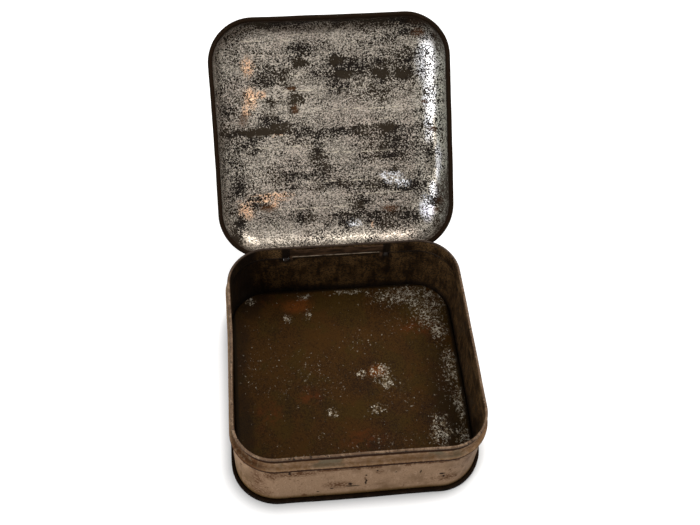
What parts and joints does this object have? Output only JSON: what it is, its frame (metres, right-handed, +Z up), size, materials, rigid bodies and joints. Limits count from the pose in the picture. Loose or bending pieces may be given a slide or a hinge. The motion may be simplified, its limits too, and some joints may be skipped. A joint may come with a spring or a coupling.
{
  "type": "candy tin",
  "caption": "Square tinplate box with rounded corners, rolled rim and a deep hinged lid that swings right back on a wire.",
  "frame": {"origin": "the point on the table under the middle of the box", "axes": "+Z up out of the open box, +Y towards the hinge and the open lid, +X to the right seen from the front"},
  "size_m": [0.114, 0.1998, 0.1085],
  "materials": {
    "lacquered_tinplate": "old pinkish-brown lacquer, worn, with rust",
    "rusted_tinplate": "dark rust and dirt over tinplate",
    "strap_tinplate": "tarnished tinplate",
    "steel_wire": "dull drawn wire",
    "bare_tinplate": "bare tinplate with fine dark corrosion spots"
  },
  "bodies": {
    "box": {"body_wall": "lacquered_tinplate", "bottom_plate": "rusted_tinplate", "hinge_strap": "strap_tinplate", "hinge_wire": "steel_wire"},
    "lid": {"lid": "bare_tinplate"}
  },
  "joints": [
    {"name": "lid_hinge", "type": "hinge", "parent": "box", "child": "lid", "pos_m": [-0.002, 0.0561, 0.03], "axis": [1, 0, 0], "range_deg": [0, 134]}
  ]
}
